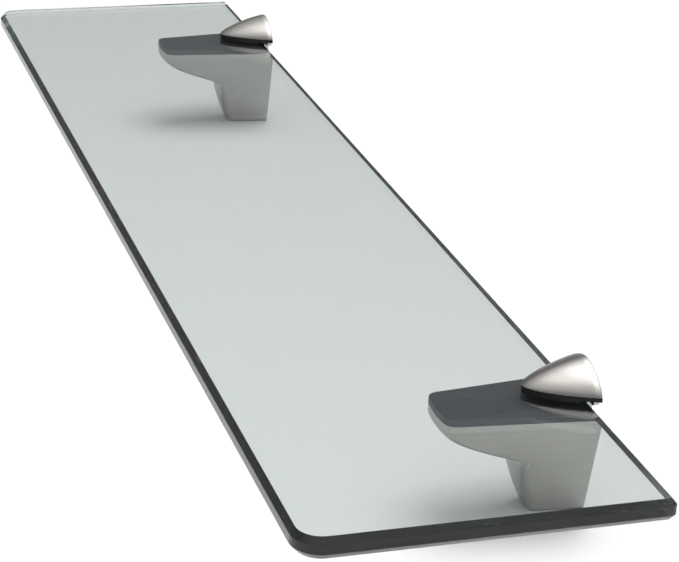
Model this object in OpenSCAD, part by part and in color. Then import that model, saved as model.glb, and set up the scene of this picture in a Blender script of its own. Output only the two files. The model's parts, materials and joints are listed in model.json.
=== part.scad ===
// Glass wall shelf held by two clamp brackets.
// X runs along the shelf, -Y points away from the wall and +Z is up.
// The origin is the middle of the wall screw holes, on the wall.

/* [Shelf] */
// Length of the glass
shelf_l = 610; // [560:1:1000]
// Depth of the glass, front to back
shelf_d = 130; // [100:1:250]
// Thickness of the glass
shelf_t = 8; // [5:0.5:10]
// Radius of the two front corners, seen from above
corner_front_r = 10.5; // [4:0.5:25]
// Radius of the two back corners, seen from above
corner_back_r = 2.6; // [2.6:0.1:10]
// Width of the bevels along the polished edges, seen from above
bevel_w = 2; // [0.5:0.1:2.4]
// Height of the bevels along the polished edges
bevel_h = 2.3; // [0.5:0.1:2.4]
// How far the glass is pushed along the brackets, from the middle
shelf_shift = 7.6; // [-20:0.1:20]

/* [Bracket places] */
// Distance between the two brackets
bracket_pitch = 449; // [250:1:460]
// Gap between the wall and the back edge of the glass
wall_gap = 2.8; // [2.8:0.1:6]
// Height from the wall screw holes' middle to the underside of the glass
glass_h = 31.6; // [30:0.1:45]

/* [Bracket casting] */
// How far the nose stands out from the wall
reach = 57.4; // [52:0.2:70]
// Width at the wall, under the glass
casting_w = 36; // [34:0.2:44]
// Width of the nose
nose_w = 24.6; // [22:0.1:30]
// Height of the nose's upright front
nose_h = 2.6; // [2:0.1:4]
// Height of the bracket casting, without its pad
casting_h = 40.6; // [40:0.1:55]
// Height of the neck, from the bottom to the knee
neck_h = 22.5; // [20:0.1:26]
// How far the neck stands out at the knee
knee_reach = 27.3; // [25:0.1:30]
// How far the neck stands out at the bottom
foot_reach = 20.7; // [19:0.1:25]
// Width of the bottom at the wall
foot_w = 16.1; // [16:0.1:24]
// Width of the neck's front at the knee
knee_w = 22.9; // [20:0.1:26]
// Width of the neck's front at the bottom
foot_front_w = 12.3; // [11:0.1:16]
// Wall of the casting
wall = 2; // [1.8:0.1:2.4]
// Thickness of the neck's floor
floor_t = 3; // [2.5:0.1:3.2]

/* [Clamp jaw] */
// How far the jaw stands out from the wall
jaw_reach = 24.7; // [20:0.1:30]
// Width of the jaw at the wall
jaw_w = 33; // [30:0.2:36]
// Height of the jaw's dome over its pad, at the back
jaw_h = 9.4; // [7:0.1:14]
// How far the jaw can lift to let the glass go
jaw_lift = 6; // [3:0.5:6]
// Thickness of the stem behind the glass
stem_t = 2.1; // [1.8:0.1:2.1]
// Width of the stem
stem_w = 16; // [12:0.5:18]
// Width of the lip that stops the glass, behind its back edge
lip_w = 28; // [22:0.5:29]
// How far the lip reaches below the top of the glass
lip_drop = 1.4; // [0.5:0.1:3]
// Thickness of the nut arm that the clamp screw drives
arm_t = 4.5; // [3.5:0.1:4.5]

/* [Pads] */
// Thickness of the pad under the glass
lower_pad_t = 2.4; // [1.5:0.1:3]
// Thickness of the pad over the glass
upper_pad_t = 2.7; // [2:0.1:4]
// Thickness of the upper pad's thin rim behind the glass
pad_rim_t = 1.8; // [0.8:0.1:2]
// How far the upper pad's thick part stops short of the edge of the glass's top face
pad_set_back = 2; // [0:0.1:4]

/* [Screws] */
// Diameter of the clamp screw's thread
clamp_d = 4; // [3:0.5:4]
// Diameter of the clamp screw's head
clamp_head_d = 7; // [6:0.5:7.5]
// Height of the clamp screw's head
clamp_head_h = 4; // [3:0.1:4.2]
// Distance of the clamp screw from the wall
clamp_y = 11.5; // [11:0.1:13]
// Key size of the clamp screw's hexagon socket
clamp_key = 3; // [2:0.1:3.2]
// Diameter of the hole in the neck's floor that the clamp screw's key passes through
key_hole_d = 5; // [4:0.1:6]
// Diameter of the lock screw
lock_d = 4; // [3:0.5:4]
// Key size of the lock screw's hexagon socket
lock_key = 2; // [1.5:0.1:2.2]
// Diameter of each wall screw hole
wall_hole_d = 4.2; // [3.5:0.1:4.5]
// Distance between a bracket's two wall screw holes
wall_hole_pitch = 10; // [8:0.5:10]

/* [Wall plate] */
// Thickness of the wall plate
plate_t = 2.5; // [2:0.1:2.6]

/* [Fits] */
// Gap round a turning screw
run_gap = 0.05; // [0.02:0.01:0.1]
// Gap between pieces that slide or hang on each other
slide_gap = 0.3; // [0.2:0.05:0.4]

/* [Hidden] */
SIDES = ["left", "right"];

round_fn = 64;
tiny = 0.01;
past = 1;

// Heights, from the wall screw holes' middle upwards
glass_top = glass_h + shelf_t;
deck_top = glass_h - lower_pad_t;
deck_under = deck_top - wall;
foot_z = deck_top - casting_h;
knee_z = foot_z + neck_h;
floor_top = foot_z + floor_t;
rim_z = glass_top + upper_pad_t;
arm_top = deck_under - jaw_lift - 2 * slide_gap;
arm_under = arm_top - arm_t;

// Clamp screw stack, from the arm downwards
clip_t = 0.7;
clip_seat_r = clamp_d / 2 - 0.4;
clip_mouth_r = clamp_d / 2 - 0.7;
clip_gap = 0.1;
clip_top = arm_under - slide_gap;
web_t = 2.4;
web_top = clip_top - clip_t - clip_gap;
web_under = web_top - web_t;
washer_t = 0.8;
washer_r = clamp_head_d / 2 + 0.5;
head_top = web_under - washer_t;
head_under = head_top - clamp_head_h;
screw_top = deck_under - past;

// Lock screw, whose cone starts where it wedges the plate's bottom edge to the wall
lock_gap = 0.1;
lock_sunk = 0.6;
lock_y = plate_t + lock_d / 2 + lock_gap;
lock_under = foot_z + lock_sunk;
lock_socket_deep = 2;
lock_point_d = 0.4;

// Wall plate, with its upper leaf standing off the wall round the casting's hook
sink_d = 6;
sink_deep = (sink_d - wall_hole_d) / 2;
sink_rim = 0.5;
step_t = 2;
step_under = wall_hole_pitch / 2 + sink_d / 2 + sink_rim;
step_top = step_under + step_t;
leaf_top = arm_under - 2 * slide_gap;
plate_under = floor_top + slide_gap;
hook_y = -plate_t;
leaf_y = -2 * plate_t;
web_back_y = leaf_y - past;

// Stem of the jaw, between the glass and the wall
back_gap = 0.1;
stem_back_y = -2 * back_gap;
stem_front_y = stem_back_y - stem_t;
glass_back_y = -wall_gap;
glass_face_back_y = glass_back_y - bevel_w;
arm_w = 11;
lip_r = 1.4;
lip_under = glass_top - lip_drop;

// Corner radii of the casting, seen from above
nose_corner_r = 4.5;
foot_corner_r = 3;
front_bow = 9;
foot_round = 1.2;
corner_steps = 8;
bow_steps = 5;
wing_levels = 16;
neck_levels = 8;
round_levels = 3;
wing_power = 1.1;
neck_power = 1.6;
smallest_corner_r = 0.8;

// Outline of the jaw, seen from above, and its dome
plan_power = 0.57;
dome_power = 0.8;
dome_crest = 1.3;
ridge_power = 1.5;
flank_power = 0.68;
back_edge_r = 0.8;
station_power = 1.8;
jaw_steps = 24;
arch_steps = 30;
plug_inset = 2.4;
plug_t = 1.2;
pad_inset = 0.25;

// Pegs that locate the lower pad
peg_r = 1.5;
peg_ys = [-16, -42];

function mix(a, b, t) = a + (b - a) * t;
function share(z, low, high) = (z - low) / (high - low);

// Front of the casting at height z: a curved underside down to the knee, then a leaning neck
function front_y(z) =
    z >= deck_top - nose_h ? -reach :
    z >= knee_z ? -mix(knee_reach, reach, pow(sin(90 * share(z, knee_z, deck_top - nose_h)), wing_power)) :
    -mix(knee_reach, foot_reach, pow(share(z, knee_z, foot_z), neck_power));

// Half widths of the casting at height z, at the wall and at the front
function back_half(z) = mix(foot_w, casting_w, share(z, foot_z, deck_top)) / 2;
function front_half(z) =
    z >= knee_z ? mix(knee_w, nose_w, share(z, knee_z, deck_top)) / 2 :
    mix(foot_front_w, knee_w, share(z, foot_z, knee_z)) / 2;
function corner_r(z) = mix(foot_corner_r, nose_corner_r, share(z, foot_z, deck_top));

// Half width of the casting's hollow at height z, a way out from the wall
function hollow_half(z, way) =
    back_half(z) - wall
    - (back_half(z) - front_half(z)) * (way + past) / (-front_y(z) - wall - corner_r(z));

// How much the bottom edge's rounding takes off at height z
function round_off(z, r) = z >= foot_z + r ? 0 : r - sqrt(max(0, r * r - pow(foot_z + r - z, 2)));

// Half of the casting's outline at height z, from the wall round to the middle of the front
function half_outline(z, inset, back_y) =
    let (half_b = back_half(z) - inset,
         half_f = front_half(z) - inset,
         r = max(smallest_corner_r, corner_r(z) - inset),
         y_f = front_y(z) + inset,
         cx = half_f - r,
         bow_r = r + cx / sin(front_bow),
         cy = y_f + bow_r - (bow_r - r) * cos(front_bow),
         lean = atan2(half_b - half_f, -cy))
    concat(
        [[half_b, back_y]],
        [for (i = [0 : corner_steps])
            let (a = mix(-lean, front_bow - 90, i / corner_steps))
            [cx + r * cos(a), cy + r * sin(a)]],
        [for (i = [1 : bow_steps])
            let (a = mix(front_bow - 90, -90, i / bow_steps))
            [bow_r * cos(a), y_f + bow_r + bow_r * sin(a)]]);

// Whole outline, one point at the front's middle
function outline(z, inset, back_y) =
    let (half = half_outline(z, inset, back_y), n = len(half))
    concat(half, [for (i = [n - 2 : -1 : 0]) [-half[i][0], half[i][1]]]);

// Half width of the jaw and height of its dome, a way s in from the tip
function jaw_half(s) = jaw_w / 2 * pow(s / jaw_reach, plan_power);
function dome_h(s) =
    jaw_h * pow(sin(90 / dome_crest * s / jaw_reach) / sin(90 / dome_crest), dome_power);
function arch(t) = pow(max(0, 1 - pow(t, ridge_power)), flank_power);
function edge_drop(s) =
    let (d = s - (jaw_reach - back_edge_r))
    d <= 0 ? 0 : back_edge_r - sqrt(max(0, back_edge_r * back_edge_r - d * d));

// Ways in from the tip, close together at the tip and at the back edge
function jaw_stations() = concat(
    [for (i = [1 : jaw_steps]) (jaw_reach - back_edge_r) * pow(i / jaw_steps, station_power)],
    [for (a = [30, 60, 90]) jaw_reach - back_edge_r + back_edge_r * sin(a)]);

// Joins a stack of outlines with equal point counts into one closed solid
module loft(rings) {
    n = len(rings[0]);
    m = len(rings);
    polyhedron(
        points = [for (ring = rings) each ring],
        faces = concat(
            [[for (i = [0 : n - 1]) i]],
            [for (k = [0 : m - 2], i = [0 : n - 1])
                let (a = k * n + i, b = k * n + (i + 1) % n)
                each [[a, a + n, b + n], [a, b + n, b]]],
            [[for (i = [n - 1 : -1 : 0]) (m - 1) * n + i]]));
}

// The casting's outer shape between two heights, shrunk by inset
module casting_form(low, high, inset, back_y) {
    levels = concat(
        [for (i = [0 : round_levels - 1])
            if (low <= foot_z) foot_z + foot_round * (1 - cos(90 * i / round_levels))],
        [for (i = [0 : neck_levels])
            let (z = mix(foot_z + foot_round, knee_z, i / neck_levels))
            if (z > low && z < high) z],
        [for (i = [1 : wing_levels])
            let (z = mix(knee_z, deck_top - nose_h, sin(90 * i / wing_levels)))
            if (z > low && z < high) z]);
    heights = concat(low <= foot_z ? [] : [low], levels, [high]);
    rings = [for (z = heights)
        let (ring = outline(z, inset + (inset == 0 ? round_off(z, foot_round) : 0), back_y))
        [for (p = ring) [p[0], min(p[1], back_y), z]]];
    loft([for (ring = rings) [for (i = [len(ring) - 1 : -1 : 0]) ring[i]]]);
}

// Block between two corners
module block(low, high) {
    translate(low) cube([high[0] - low[0], high[1] - low[1], high[2] - low[2]]);
}

// Upright round bar or hole at a distance from the wall
module upright(y, r, low, high) {
    translate([0, y, low]) cylinder(r = r, h = high - low, $fn = round_fn);
}

module shelf_outline(inset) {
    hull()
        for (side = [-1, 1]) {
            translate([side * (shelf_l / 2 - corner_front_r), glass_back_y - shelf_d + corner_front_r])
                circle(r = corner_front_r - inset, $fn = round_fn);
            translate([side * (shelf_l / 2 - corner_back_r), glass_back_y - corner_back_r])
                circle(r = corner_back_r - inset, $fn = round_fn / 2);
        }
}

// Glass with a flat polished edge between two bevels
module shelf_panel() {
    color([0.72, 0.85, 0.80, 0.5])
    translate([shelf_shift, 0, glass_h])
    hull() {
        linear_extrude(shelf_t) shelf_outline(bevel_w);
        translate([0, 0, bevel_h]) linear_extrude(shelf_t - 2 * bevel_h) shelf_outline(0);
    }
}

// Hollow of the casting, open towards the wall, in two chambers with a web between
module casting_hollow() {
    difference() {
        casting_form(floor_top, deck_under, wall, past);
        block([-casting_w, -reach, web_under], [casting_w, web_back_y, web_top]);
        block([-casting_w, hook_y + slide_gap, step_top + tiny], [casting_w, -slide_gap, leaf_top]);
    }
}

module bracket_casting() {
    color([0.62, 0.62, 0.60])
    difference() {
        casting_form(foot_z, deck_top, 0, 0);
        casting_hollow();
        block([-stem_w / 2 - slide_gap, stem_front_y - slide_gap, deck_under - past],
              [stem_w / 2 + slide_gap, past, deck_top + past]);
        upright(-clamp_y, clamp_d / 2 + run_gap, web_under - past, web_top + past);
        upright(-clamp_y, key_hole_d / 2, foot_z - past, floor_top + past);
        upright(-lock_y, lock_d / 2 + run_gap, foot_z - past, floor_top + past);
        for (y = peg_ys)
            upright(y, peg_r + run_gap, deck_under - past, deck_top + past);
    }
}

module lower_pad() {
    color([0.2, 0.21, 0.22])
    difference() {
        union() {
            translate([0, 0, deck_top]) linear_extrude(lower_pad_t) polygon(outline(deck_top, 0, 0));
            for (y = peg_ys)
                upright(y, peg_r, deck_under + slide_gap, deck_top + tiny);
        }
        block([-stem_w / 2 - slide_gap, stem_front_y - slide_gap, deck_top - past],
              [stem_w / 2 + slide_gap, past, glass_h + past]);
    }
}

// Plate screwed to the wall, as wide as the casting's hollow lets it be
module wall_plate() {
    plate_w = 2 * (hollow_half(plate_under, plate_t) - slide_gap);
    color([0.75, 0.76, 0.78])
    difference() {
        rotate([90, 0, 90])
            translate([0, 0, -plate_w / 2])
                linear_extrude(plate_w)
                    polygon([[0, plate_under], [0, step_top], [hook_y, step_top], [hook_y, leaf_top],
                             [leaf_y, leaf_top], [leaf_y, step_under], [hook_y, step_under],
                             [hook_y, plate_under]]);
        for (z = [-wall_hole_pitch / 2, wall_hole_pitch / 2])
            translate([0, 0, z])
                rotate([90, 0, 0]) {
                    translate([0, 0, -past])
                        cylinder(d = wall_hole_d, h = plate_t + 2 * past, $fn = round_fn);
                    translate([0, 0, plate_t - sink_deep])
                        cylinder(d1 = wall_hole_d, d2 = sink_d, h = sink_deep, $fn = round_fn);
                    translate([0, 0, plate_t - tiny])
                        cylinder(d = sink_d, h = past, $fn = round_fn);
                }
    }
}

module lock_screw() {
    color([0.3, 0.3, 0.31])
    difference() {
        union() {
            upright(-lock_y, lock_d / 2, lock_under, floor_top);
            translate([0, -lock_y, floor_top])
                cylinder(d1 = lock_d, d2 = lock_point_d, h = (lock_d - lock_point_d) / 2, $fn = round_fn);
        }
        socket(-lock_y, lock_under, lock_key, lock_socket_deep);
    }
}

// Hexagon socket, cut upwards from a screw's lower end
module socket(y, z, af, deep) {
    translate([0, y, z - tiny]) cylinder(r = af / sqrt(3), h = deep, $fn = 6);
}

// Jaw outline seen from above, from the tip back to the wall side
function jaw_outline(inset) =
    let (ways = jaw_stations(), half = [for (s = ways) [max(0, jaw_half(s) - inset), -jaw_reach + s]])
    concat(
        [[0, -jaw_reach + inset]],
        [for (p = half) if (p[0] > 0 && p[1] > -jaw_reach + inset) [p[0], p[1] - back_gap]],
        [for (i = [len(half) - 1 : -1 : 0])
            if (half[i][0] > 0 && half[i][1] > -jaw_reach + inset) [-half[i][0], half[i][1] - back_gap]]);

// Dome of the jaw: arches from the tip to the flat back
module jaw_dome() {
    rings = [for (s = concat([tiny], jaw_stations()))
        let (half = jaw_half(s) - edge_drop(s), h = dome_h(s) - edge_drop(s))
        [for (i = [0 : arch_steps])
            let (t = sin(mix(-90, 90, i / arch_steps)))
            [half * t, -jaw_reach - back_gap + s, rim_z + h * arch(abs(t))]]];
    loft(rings);
}

module clamp_jaw() {
    color([0.78, 0.76, 0.74])
    difference() {
        union() {
            jaw_dome();
            stem();
            nut_arm();
        }
        translate([0, 0, rim_z - past]) linear_extrude(plug_t + past)
            intersection() {
                polygon(jaw_outline(plug_inset));
                translate([-jaw_w, stem_front_y - slide_gap - jaw_reach]) square([2 * jaw_w, jaw_reach]);
            }
        upright(-clamp_y, clamp_d / 2 + run_gap, arm_under - past, arm_top + past);
    }
}

// Flat stem that passes behind the glass, under a wider lip that stops the glass
module stem() {
    root_z = rim_z + plug_t;
    rotate([90, 0, 0])
        translate([0, 0, -stem_back_y])
            linear_extrude(stem_t) {
                translate([-stem_w / 2, arm_under]) square([stem_w, root_z - arm_under]);
                translate([-lip_w / 2, lip_under + lip_r]) square([lip_w, root_z - lip_under - lip_r]);
                translate([lip_r - lip_w / 2, lip_under]) square([lip_w - 2 * lip_r, 2 * lip_r]);
                for (side = [-1, 1])
                    translate([side * (lip_w / 2 - lip_r), lip_under + lip_r])
                        circle(r = lip_r, $fn = round_fn);
            }
}

// Arm inside the casting, with the thread that the clamp screw turns in
module nut_arm() {
    block([-arm_w / 2, -clamp_y, arm_under], [arm_w / 2, stem_front_y + tiny, arm_top]);
    upright(-clamp_y, arm_w / 2, arm_under, arm_top);
}

module upper_pad() {
    color([0.09, 0.09, 0.1])
    difference() {
        union() {
            translate([0, 0, rim_z - pad_rim_t]) linear_extrude(pad_rim_t) polygon(jaw_outline(pad_inset));
            intersection() {
                translate([0, 0, glass_top]) linear_extrude(upper_pad_t) polygon(jaw_outline(pad_inset));
                block([-jaw_w, -2 * jaw_reach, glass_top],
                      [jaw_w, glass_face_back_y - pad_set_back, rim_z]);
            }
            translate([0, 0, rim_z - tiny]) linear_extrude(plug_t - slide_gap)
                intersection() {
                    polygon(jaw_outline(plug_inset + run_gap));
                    translate([-jaw_w, stem_front_y - 2 * slide_gap - jaw_reach])
                        square([2 * jaw_w, jaw_reach]);
                }
        }
        block([-lip_w / 2 - run_gap, stem_front_y - run_gap, glass_top - past],
              [lip_w / 2 + run_gap, past, rim_z + plug_t + past]);
    }
}

module clamp_screw() {
    color([0.8, 0.8, 0.82])
    difference() {
        union() {
            upright(-clamp_y, clamp_head_d / 2, head_under, head_top);
            upright(-clamp_y, clamp_d / 2, head_top - tiny, screw_top);
        }
        clip_groove();
        socket(-clamp_y, head_under, clamp_key, clamp_head_h / 2);
    }
}

// Groove in the shank for the retaining clip
module clip_groove() {
    translate([0, -clamp_y, clip_top - clip_t - tiny])
        difference() {
            cylinder(r = clamp_d, h = clip_t + 2 * tiny, $fn = round_fn);
            translate([0, 0, -past]) cylinder(r = clip_seat_r, h = clip_t + 2 * past, $fn = round_fn);
        }
}

module clamp_washer() {
    color([0.7, 0.7, 0.72])
    difference() {
        upright(-clamp_y, washer_r, head_top, web_under);
        upright(-clamp_y, clamp_d / 2 + slide_gap, head_top - past, web_under + past);
    }
}

// Open spring clip that snaps into the groove above the web
module retaining_clip() {
    color([0.35, 0.35, 0.36])
    difference() {
        upright(-clamp_y, clamp_head_d / 2, clip_top - clip_t, clip_top);
        upright(-clamp_y, clip_seat_r + run_gap, clip_top - clip_t - past, clip_top + past);
        block([-clip_mouth_r, -clamp_y, clip_top - clip_t - past],
              [clip_mouth_r, 0, clip_top + past]);
    }
}

module at_side(side) {
    translate([side == "left" ? -bracket_pitch / 2 : bracket_pitch / 2, 0, 0]) children();
}

shelf_panel();
for (side = SIDES) {
    at_side(side) bracket_casting();
    at_side(side) lower_pad();
    at_side(side) wall_plate();
    at_side(side) lock_screw();
    at_side(side) clamp_jaw();
    at_side(side) upper_pad();
    at_side(side) clamp_screw();
    at_side(side) clamp_washer();
    at_side(side) retaining_clip();
}
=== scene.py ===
"""Glass wall shelf on two satin nickel clamp brackets, over a plain pale floor."""
import json
import math

import bmesh
import bpy
from mathutils import Matrix, Vector


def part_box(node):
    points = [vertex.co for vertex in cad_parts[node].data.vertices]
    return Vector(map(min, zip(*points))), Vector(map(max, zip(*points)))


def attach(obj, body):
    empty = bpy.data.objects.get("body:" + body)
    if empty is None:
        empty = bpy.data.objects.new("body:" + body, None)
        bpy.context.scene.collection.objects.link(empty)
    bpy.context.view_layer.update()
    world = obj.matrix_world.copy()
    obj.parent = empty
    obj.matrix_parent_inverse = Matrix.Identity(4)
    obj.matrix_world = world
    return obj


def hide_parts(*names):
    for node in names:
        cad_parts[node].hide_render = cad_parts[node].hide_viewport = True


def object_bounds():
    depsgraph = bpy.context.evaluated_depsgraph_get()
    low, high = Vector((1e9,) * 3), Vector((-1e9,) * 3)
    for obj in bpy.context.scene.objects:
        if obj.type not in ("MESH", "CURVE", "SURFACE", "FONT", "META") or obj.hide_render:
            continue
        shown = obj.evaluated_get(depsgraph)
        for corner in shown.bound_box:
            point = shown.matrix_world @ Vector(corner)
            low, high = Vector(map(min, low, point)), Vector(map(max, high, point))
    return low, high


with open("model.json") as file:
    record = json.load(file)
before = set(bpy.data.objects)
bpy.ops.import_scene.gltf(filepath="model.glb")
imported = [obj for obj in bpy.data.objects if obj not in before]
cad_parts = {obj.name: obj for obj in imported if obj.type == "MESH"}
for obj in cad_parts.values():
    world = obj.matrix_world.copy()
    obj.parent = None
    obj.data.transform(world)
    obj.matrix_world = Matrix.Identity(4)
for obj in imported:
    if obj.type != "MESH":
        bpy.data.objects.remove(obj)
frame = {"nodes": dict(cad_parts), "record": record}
CAD_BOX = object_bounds()

MM = 0.001

# Camera: from near the shelf's right end, a little above it
CAMERA_AZIMUTH = 72.33
CAMERA_ELEVATION = 22.54
CAMERA_ROLL = 2.51
CAMERA_DISTANCE = 0.8899
CAMERA_LENS = 118.35
CAMERA_NEAR = 0.01
CAMERA_FAR = 40.0
SENSOR_WIDTH = 36.0
TARGET_ALONG = 0.6716
TARGET_BACK = 0.4335

# Studio: a pale floor under a sky that is dim near the horizon and bright overhead
FLOOR_HALF = 8.0
FLOOR_COLOUR = (0.96, 0.96, 0.96)
FLOOR_SHADE = 0.985
SKY_STRENGTH = 1.18
SKY_TOWARDS = (0.10, 0.0, 1.0)
SKY_STOPS = (
    (0.0, (0.17, 0.17, 0.17)),
    (0.55, (0.24, 0.24, 0.24)),
    (0.8, (0.68, 0.68, 0.68)),
    (1.0, (1.0, 0.99, 0.98)),
)
SOFTBOX_PLACE = (-0.2, 0.55, 3.0)
SOFTBOX_AIM = (0.0, 0.0, 0.0)
SOFTBOX_SIZE = (2.4, 2.4)
SOFTBOX_POWER = 58.0

# Glass: absorption as a density per metre and a colour, reflections weaker than real
# glass gives so that its near end stays dark, and lightly frosted bevels
GLASS_DENSITY = 100.0
GLASS_TINT = (0.66, 0.735, 0.715)
GLASS_IOR = 1.52
GLASS_SPECULAR = 0.16
BEVEL_FROST = 0.16

# Satin nickel: brush lines per metre up the piece, and how deep its grey is; the jaw's is set lower than
# the casting's, a painted shade
CASTING_LINES = 1500.0
CASTING_DEPTH = 0.66
JAW_LINES = 320.0
# The jaw's plate is painted darker than the casting's: painted shade that tones down its highlights
JAW_DEPTH_WITH_PAINTED_SHADE = 0.6
NICKEL_STOPS = (
    (0.30, (0.50, 0.485, 0.455)),
    (0.52, (0.60, 0.583, 0.553)),
    (0.72, (0.70, 0.685, 0.66)),
)
RUBBED_NICKEL = (0.80, 0.78, 0.75)

# Pointiness at which an edge starts to show wear, and at which it is fully worn
WEAR_START = 0.505
WEAR_FULL = 0.56

# How far a roughness varies over a surface
ROUGHNESS_SPREAD = 0.16

# How each slot's edges are eased: width in millimetres
EASED_EDGE = {
    "satin_nickel": 0.28,
    "grey_rubber": 0.3,
    "black_rubber": 0.2,
    "zinc_plate": 0.12,
    "black_steel": 0.1,
    "bright_steel": 0.12,
}
EASE_SEGMENTS = 2
SHARP_ANGLE = 28.0
WELD_DISTANCE = 1e-6
FLAT_ANGLE = 0.2


def setup_camera():
    """Aims the camera at a point on top of the glass."""
    low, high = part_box("shelf_panel")
    target = Vector((
        low.x + (high.x - low.x) * TARGET_ALONG,
        high.y + (low.y - high.y) * TARGET_BACK,
        high.z,
    ))
    azimuth = math.radians(CAMERA_AZIMUTH)
    elevation = math.radians(CAMERA_ELEVATION)
    back = Vector((
        math.sin(azimuth) * math.cos(elevation),
        -math.cos(azimuth) * math.cos(elevation),
        math.sin(elevation),
    ))
    data = bpy.data.cameras.new("camera")
    data.lens = CAMERA_LENS
    data.sensor_width = SENSOR_WIDTH
    data.clip_start = CAMERA_NEAR
    data.clip_end = CAMERA_FAR
    camera = bpy.data.objects.new("camera", data)
    bpy.context.scene.collection.objects.link(camera)
    turn = back.to_track_quat("Z", "Y").to_matrix().to_4x4()
    roll = Matrix.Rotation(math.radians(CAMERA_ROLL), 4, "Z")
    camera.matrix_world = Matrix.Translation(target + back * CAMERA_DISTANCE) @ turn @ roll
    bpy.context.scene.camera = camera


def scaled(colour, factor):
    """A colour made darker or lighter by a factor."""
    return tuple(part * factor for part in colour)


def fill_ramp(ramp, stops):
    """Sets a colour ramp to (position, colour) stops."""
    while len(ramp.elements) < len(stops):
        ramp.elements.new(0.5)
    for element, (position, colour) in zip(ramp.elements, stops):
        element.position = position
        element.color = (*colour, 1.0)


class Shading:
    """A node material with a Principled shader, and short calls for the nodes that drive it."""

    def __init__(self, name, **constants):
        self.material = bpy.data.materials.new(name)
        self.material.use_nodes = True
        self.nodes = self.material.node_tree.nodes
        self.links = self.material.node_tree.links
        self.shader = self.nodes["Principled BSDF"]
        self.output = self.nodes["Material Output"]
        self.place = self.nodes.new("ShaderNodeTexCoord").outputs["Object"]
        for socket, value in constants.items():
            self.shader.inputs[socket.replace("_", " ")].default_value = value

    def stretch(self, x, y, z):
        """Object coordinates scaled along each axis."""
        node = self.nodes.new("ShaderNodeMapping")
        node.inputs["Scale"].default_value = (x, y, z)
        self.links.new(self.place, node.inputs["Vector"])
        return node.outputs["Vector"]

    def noise(self, scale, detail=3.0, roughness=0.55, vector=None):
        node = self.nodes.new("ShaderNodeTexNoise")
        node.inputs["Scale"].default_value = scale
        node.inputs["Detail"].default_value = detail
        node.inputs["Roughness"].default_value = roughness
        self.links.new(vector or self.place, node.inputs["Vector"])
        return node.outputs["Fac"]

    def cells(self, scale):
        node = self.nodes.new("ShaderNodeTexVoronoi")
        node.inputs["Scale"].default_value = scale
        self.links.new(self.place, node.inputs["Vector"])
        return node.outputs["Color"]

    def ramp(self, factor, *stops):
        """A colour ramp through (position, colour) stops."""
        node = self.nodes.new("ShaderNodeValToRGB")
        fill_ramp(node.color_ramp, stops)
        self.links.new(factor, node.inputs["Fac"])
        return node.outputs["Color"]

    def span(self, factor, low, high, from_low=0.3, from_high=0.7):
        """A factor stretched from one range to another."""
        node = self.nodes.new("ShaderNodeMapRange")
        node.inputs["From Min"].default_value = from_low
        node.inputs["From Max"].default_value = from_high
        node.inputs["To Min"].default_value = low
        node.inputs["To Max"].default_value = high
        self.links.new(factor, node.inputs["Value"])
        return node.outputs["Result"]

    def maths(self, operation, a, b=0.0):
        node = self.nodes.new("ShaderNodeMath")
        node.operation = operation
        for socket, value in zip(node.inputs, (a, b)):
            if isinstance(value, (int, float)):
                socket.default_value = value
            else:
                self.links.new(value, socket)
        return node.outputs["Value"]

    def mix(self, factor, a, b):
        """Two colours, or two colour sockets, mixed by a factor."""
        node = self.nodes.new("ShaderNodeMix")
        node.data_type = "RGBA"
        self.links.new(factor, node.inputs["Factor"])
        for name, value in (("A", a), ("B", b)):
            socket = next(s for s in node.inputs if s.name == name and s.type == "RGBA")
            if isinstance(value, tuple):
                socket.default_value = (*value, 1.0)
            else:
                self.links.new(value, socket)
        return next(s for s in node.outputs if s.type == "RGBA")

    def edges(self):
        """One on worn convex edges, nought on flat ground."""
        node = self.nodes.new("ShaderNodeNewGeometry")
        return self.span(node.outputs["Pointiness"], 0.0, 1.0, WEAR_START, WEAR_FULL)

    def facing_up(self):
        """How level a surface lies: one on the top and bottom faces."""
        geometry = self.nodes.new("ShaderNodeNewGeometry")
        split = self.nodes.new("ShaderNodeSeparateXYZ")
        self.links.new(geometry.outputs["Normal"], split.inputs["Vector"])
        return self.maths("ABSOLUTE", split.outputs["Z"])

    def drive(self, socket, value):
        self.links.new(value, self.shader.inputs[socket])

    def bump(self, height, distance, strength=1.0):
        node = self.nodes.new("ShaderNodeBump")
        node.inputs["Distance"].default_value = distance
        node.inputs["Strength"].default_value = strength
        self.links.new(height, node.inputs["Height"])
        self.links.new(node.outputs["Normal"], self.shader.inputs["Normal"])


def clear_glass():
    """Float glass: faintly smudged faces, fine grinding lines on the edges and frosted bevels."""
    glass = Shading("clear_glass", Transmission_Weight=1.0, IOR=GLASS_IOR, Base_Color=(1.0, 1.0, 1.0, 1.0),
                    Specular_IOR_Level=GLASS_SPECULAR)
    edge = glass.span(glass.facing_up(), 1.0, 0.0, 0.90, 0.97)
    smudge = glass.span(glass.noise(26.0, 4.0), 0.0, 0.035, 0.5, 0.78)
    grinding = glass.noise(60.0, 4.0, vector=glass.stretch(1.0, 1.0, 30.0))
    ground = glass.maths("MULTIPLY", glass.span(grinding, 0.03, 0.11), edge)
    bevel = glass.maths("MULTIPLY", glass.span(glass.facing_up(), 0.0, 1.0, 0.35, 0.5), edge)
    frost = glass.maths("ADD", ground, glass.maths("MULTIPLY", bevel, BEVEL_FROST))
    glass.drive("Roughness", glass.maths("ADD", smudge, frost))
    waviness = glass.maths("MULTIPLY", grinding, edge)
    glass.bump(glass.maths("ADD", glass.noise(9.0, 1.0), waviness), 0.00004, 0.2)
    absorption = glass.nodes.new("ShaderNodeVolumeAbsorption")
    absorption.inputs["Color"].default_value = (*GLASS_TINT, 1.0)
    absorption.inputs["Density"].default_value = GLASS_DENSITY
    glass.links.new(absorption.outputs["Volume"], glass.output.inputs["Volume"])
    return glass.material


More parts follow.
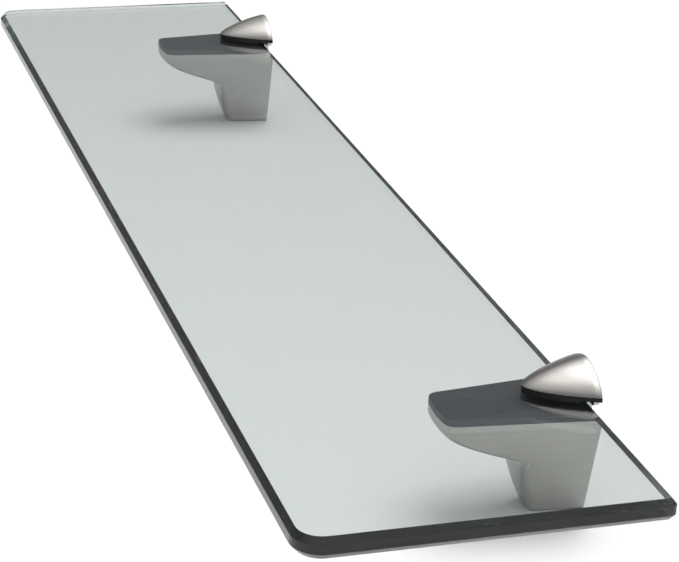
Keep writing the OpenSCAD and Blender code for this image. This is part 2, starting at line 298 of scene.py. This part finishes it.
def satin_nickel(name, lines, depth_and_painted_shade):
    """Satin nickel plate on zinc: fine brush lines, soft blotches and brighter rubbed edges.

    The last argument scales the plate's colour: below one is a greyer, duller plate; on the jaw it is set
    lower still, a painted shade that darkens the whole piece.
    """
    metal = Shading(name, Metallic=1.0)
    brush = metal.noise(1.0, 6.0, 0.65, metal.stretch(35.0, 35.0, lines))
    blotch = metal.noise(45.0, 3.0)
    tone = metal.maths("ADD", metal.maths("MULTIPLY", brush, 0.7), metal.maths("MULTIPLY", blotch, 0.3))
    plate = metal.ramp(tone, *((place, scaled(colour, depth_and_painted_shade)) for place, colour in NICKEL_STOPS))
    metal.drive("Base Color", metal.mix(metal.edges(), plate, scaled(RUBBED_NICKEL, depth_and_painted_shade)))
    metal.drive("Roughness", metal.span(tone, 0.42, 0.31))
    grain = metal.noise(2600.0, 2.0)
    metal.bump(metal.maths("ADD", brush, metal.maths("MULTIPLY", grain, 0.25)), 0.00003, 0.45)
    return metal.material


def rubber(name, dark, light, shine):
    """Moulded rubber: fine pebbled skin with a dusty bloom and paler rubbed edges."""
    skin = Shading(name, Specular_IOR_Level=0.3)
    bloom = skin.noise(70.0, 5.0)
    skin.drive("Base Color", skin.mix(skin.edges(), skin.ramp(bloom, (0.35, dark), (0.7, light)), light))
    skin.drive("Roughness", skin.span(bloom, shine, shine + ROUGHNESS_SPREAD))
    skin.bump(skin.noise(2200.0, 3.0), 0.00003, 0.5)
    return skin.material


def zinc_plate():
    """Bright zinc plating: small spangles, a faint blue cast and scuffs."""
    zinc = Shading("zinc_plate", Metallic=1.0)
    spangle = zinc.nodes.new("ShaderNodeRGBToBW")
    zinc.links.new(zinc.cells(420.0), spangle.inputs["Color"])
    scuff = zinc.noise(160.0, 6.0, 0.7)
    plate = zinc.ramp(spangle.outputs["Val"], (0.2, (0.55, 0.57, 0.60)), (0.8, (0.70, 0.72, 0.74)))
    zinc.drive("Base Color", zinc.mix(zinc.edges(), plate, (0.82, 0.83, 0.84)))
    zinc.drive("Roughness", zinc.span(scuff, 0.24, 0.44))
    zinc.bump(scuff, 0.00003, 0.4)
    return zinc.material


def turned_steel(name, dark, light, shine):
    """Machined steel: rings left by turning, with brighter edges."""
    steel = Shading(name, Metallic=1.0)
    rings = steel.noise(1.0, 4.0, 0.6, steel.stretch(60.0, 60.0, 2600.0))
    film = steel.noise(220.0, 4.0)
    steel.drive("Base Color", steel.mix(steel.edges(), steel.ramp(film, (0.35, dark), (0.7, light)), light))
    steel.drive("Roughness", steel.span(rings, shine, shine + ROUGHNESS_SPREAD))
    steel.bump(rings, 0.00002, 0.4)
    return steel.material


def make_floor(level):
    """Plain pale floor, with a faint grain so that it isn't a flat colour."""
    mesh = bpy.data.meshes.new("floor")
    corners = [(-1, -1), (1, -1), (1, 1), (-1, 1)]
    mesh.from_pydata([(x * FLOOR_HALF, y * FLOOR_HALF, level) for x, y in corners], [], [(0, 1, 2, 3)])
    floor = bpy.data.objects.new("floor", mesh)
    bpy.context.scene.collection.objects.link(floor)
    card = Shading("floor_card", Specular_IOR_Level=0.2, Roughness=0.8)
    shade = scaled(FLOOR_COLOUR, FLOOR_SHADE)
    card.drive("Base Color", card.ramp(card.noise(3.0, 3.0), (0.3, shade), (0.7, FLOOR_COLOUR)))
    mesh.materials.append(card.material)


def make_sky():
    """Even studio light: bright overhead, dim near the horizon."""
    world = bpy.data.worlds.new("studio")
    bpy.context.scene.world = world
    world.use_nodes = True
    nodes, links = world.node_tree.nodes, world.node_tree.links
    place = nodes.new("ShaderNodeTexCoord")
    towards = nodes.new("ShaderNodeVectorMath")
    towards.operation = "DOT_PRODUCT"
    towards.inputs[1].default_value = SKY_TOWARDS
    ramp = nodes.new("ShaderNodeValToRGB")
    fill_ramp(ramp.color_ramp, SKY_STOPS)
    links.new(place.outputs["Generated"], towards.inputs[0])
    links.new(towards.outputs["Value"], ramp.inputs["Fac"])
    links.new(ramp.outputs["Color"], nodes["Background"].inputs["Color"])
    nodes["Background"].inputs["Strength"].default_value = SKY_STRENGTH


def soft_light(name, place, aim, size, power):
    """A large softbox at a place, facing a point."""
    data = bpy.data.lights.new(name, "AREA")
    data.shape = "RECTANGLE"
    data.size, data.size_y = size
    data.energy = power
    lamp = bpy.data.objects.new(name, data)
    bpy.context.scene.collection.objects.link(lamp)
    direction = Vector(place) - Vector(aim)
    lamp.matrix_world = Matrix.Translation(place) @ direction.to_track_quat("Z", "Y").to_matrix().to_4x4()


def finished_skin(node, body, slot, material):
    """A welded, edge-eased and smoothly shaded skin in a CAD node's exact shape."""
    source = frame["nodes"][node]
    shape = bmesh.new()
    shape.from_mesh(source.data)
    bmesh.ops.remove_doubles(shape, verts=shape.verts, dist=WELD_DISTANCE)
    bmesh.ops.dissolve_limit(
        shape, angle_limit=math.radians(FLAT_ANGLE), verts=shape.verts, edges=shape.edges
    )
    for face in shape.faces:
        face.smooth = True
        face.material_index = 0
    for edge in shape.edges:
        if len(edge.link_faces) == 2:
            edge.smooth = edge.calc_face_angle() < math.radians(SHARP_ANGLE)
    mesh = bpy.data.meshes.new(f"{node}_skin")
    shape.to_mesh(mesh)
    shape.free()
    mesh.materials.append(material)
    skin = bpy.data.objects.new(f"{node}_skin", mesh)
    bpy.context.scene.collection.objects.link(skin)
    if slot in EASED_EDGE:
        ease = skin.modifiers.new("eased_edges", "BEVEL")
        ease.limit_method = "ANGLE"
        ease.angle_limit = math.radians(SHARP_ANGLE)
        ease.width = EASED_EDGE[slot] * MM
        ease.segments = EASE_SEGMENTS
        ease.use_clamp_overlap = True
        ease.miter_outer = "MITER_ARC"
    weighted = skin.modifiers.new("even_normals", "WEIGHTED_NORMAL")
    weighted.keep_sharp = True
    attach(skin, body)
    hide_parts(node)
    return skin


setup_camera()
make_floor(CAD_BOX[0][2])
make_sky()
soft_light("overhead_softbox", SOFTBOX_PLACE, SOFTBOX_AIM, SOFTBOX_SIZE, SOFTBOX_POWER)

CASTING_NICKEL = satin_nickel("satin_nickel_brushed", CASTING_LINES, CASTING_DEPTH)
# The jaw's nickel: the same plate as the casting's, with painted shade darkening it
JAW_NICKEL_WITH_PAINTED_SHADE = satin_nickel("satin_nickel_smooth_painted_shade", JAW_LINES, JAW_DEPTH_WITH_PAINTED_SHADE)
MATERIALS = {
    "clear_glass": clear_glass(),
    "satin_nickel": CASTING_NICKEL,
    "grey_rubber": rubber("grey_rubber", (0.078, 0.083, 0.096), (0.106, 0.112, 0.126), 0.6),
    "black_rubber": rubber("black_rubber", (0.008, 0.008, 0.009), (0.018, 0.018, 0.020), 0.42),
    "zinc_plate": zinc_plate(),
    "black_steel": turned_steel("black_steel", (0.03, 0.03, 0.033), (0.09, 0.09, 0.095), 0.34),
    "bright_steel": turned_steel("bright_steel", (0.52, 0.53, 0.54), (0.72, 0.73, 0.74), 0.2),
}

SLOT_OF = {part["node"]: part["material_slot"] for part in frame["record"]["subparts"]}
SKINS = {}
for body, members in frame["record"]["behaviour"]["bodies"].items():
    for member in members:
        slot_name = SLOT_OF[member]
        finish = JAW_NICKEL_WITH_PAINTED_SHADE if member.endswith("clamp_jaw") else MATERIALS[slot_name]
        SKINS[member] = finished_skin(member, body, slot_name, finish)

# Lamps reach the floor and the brackets through the clear glass
SKINS["shelf_panel"].visible_shadow = False
SKINS["shelf_panel"].visible_diffuse = False

scene = bpy.context.scene
scene.view_settings.view_transform = "Standard"
scene.cycles.max_bounces = 24
scene.cycles.transmission_bounces = 24
scene.cycles.glossy_bounces = 12
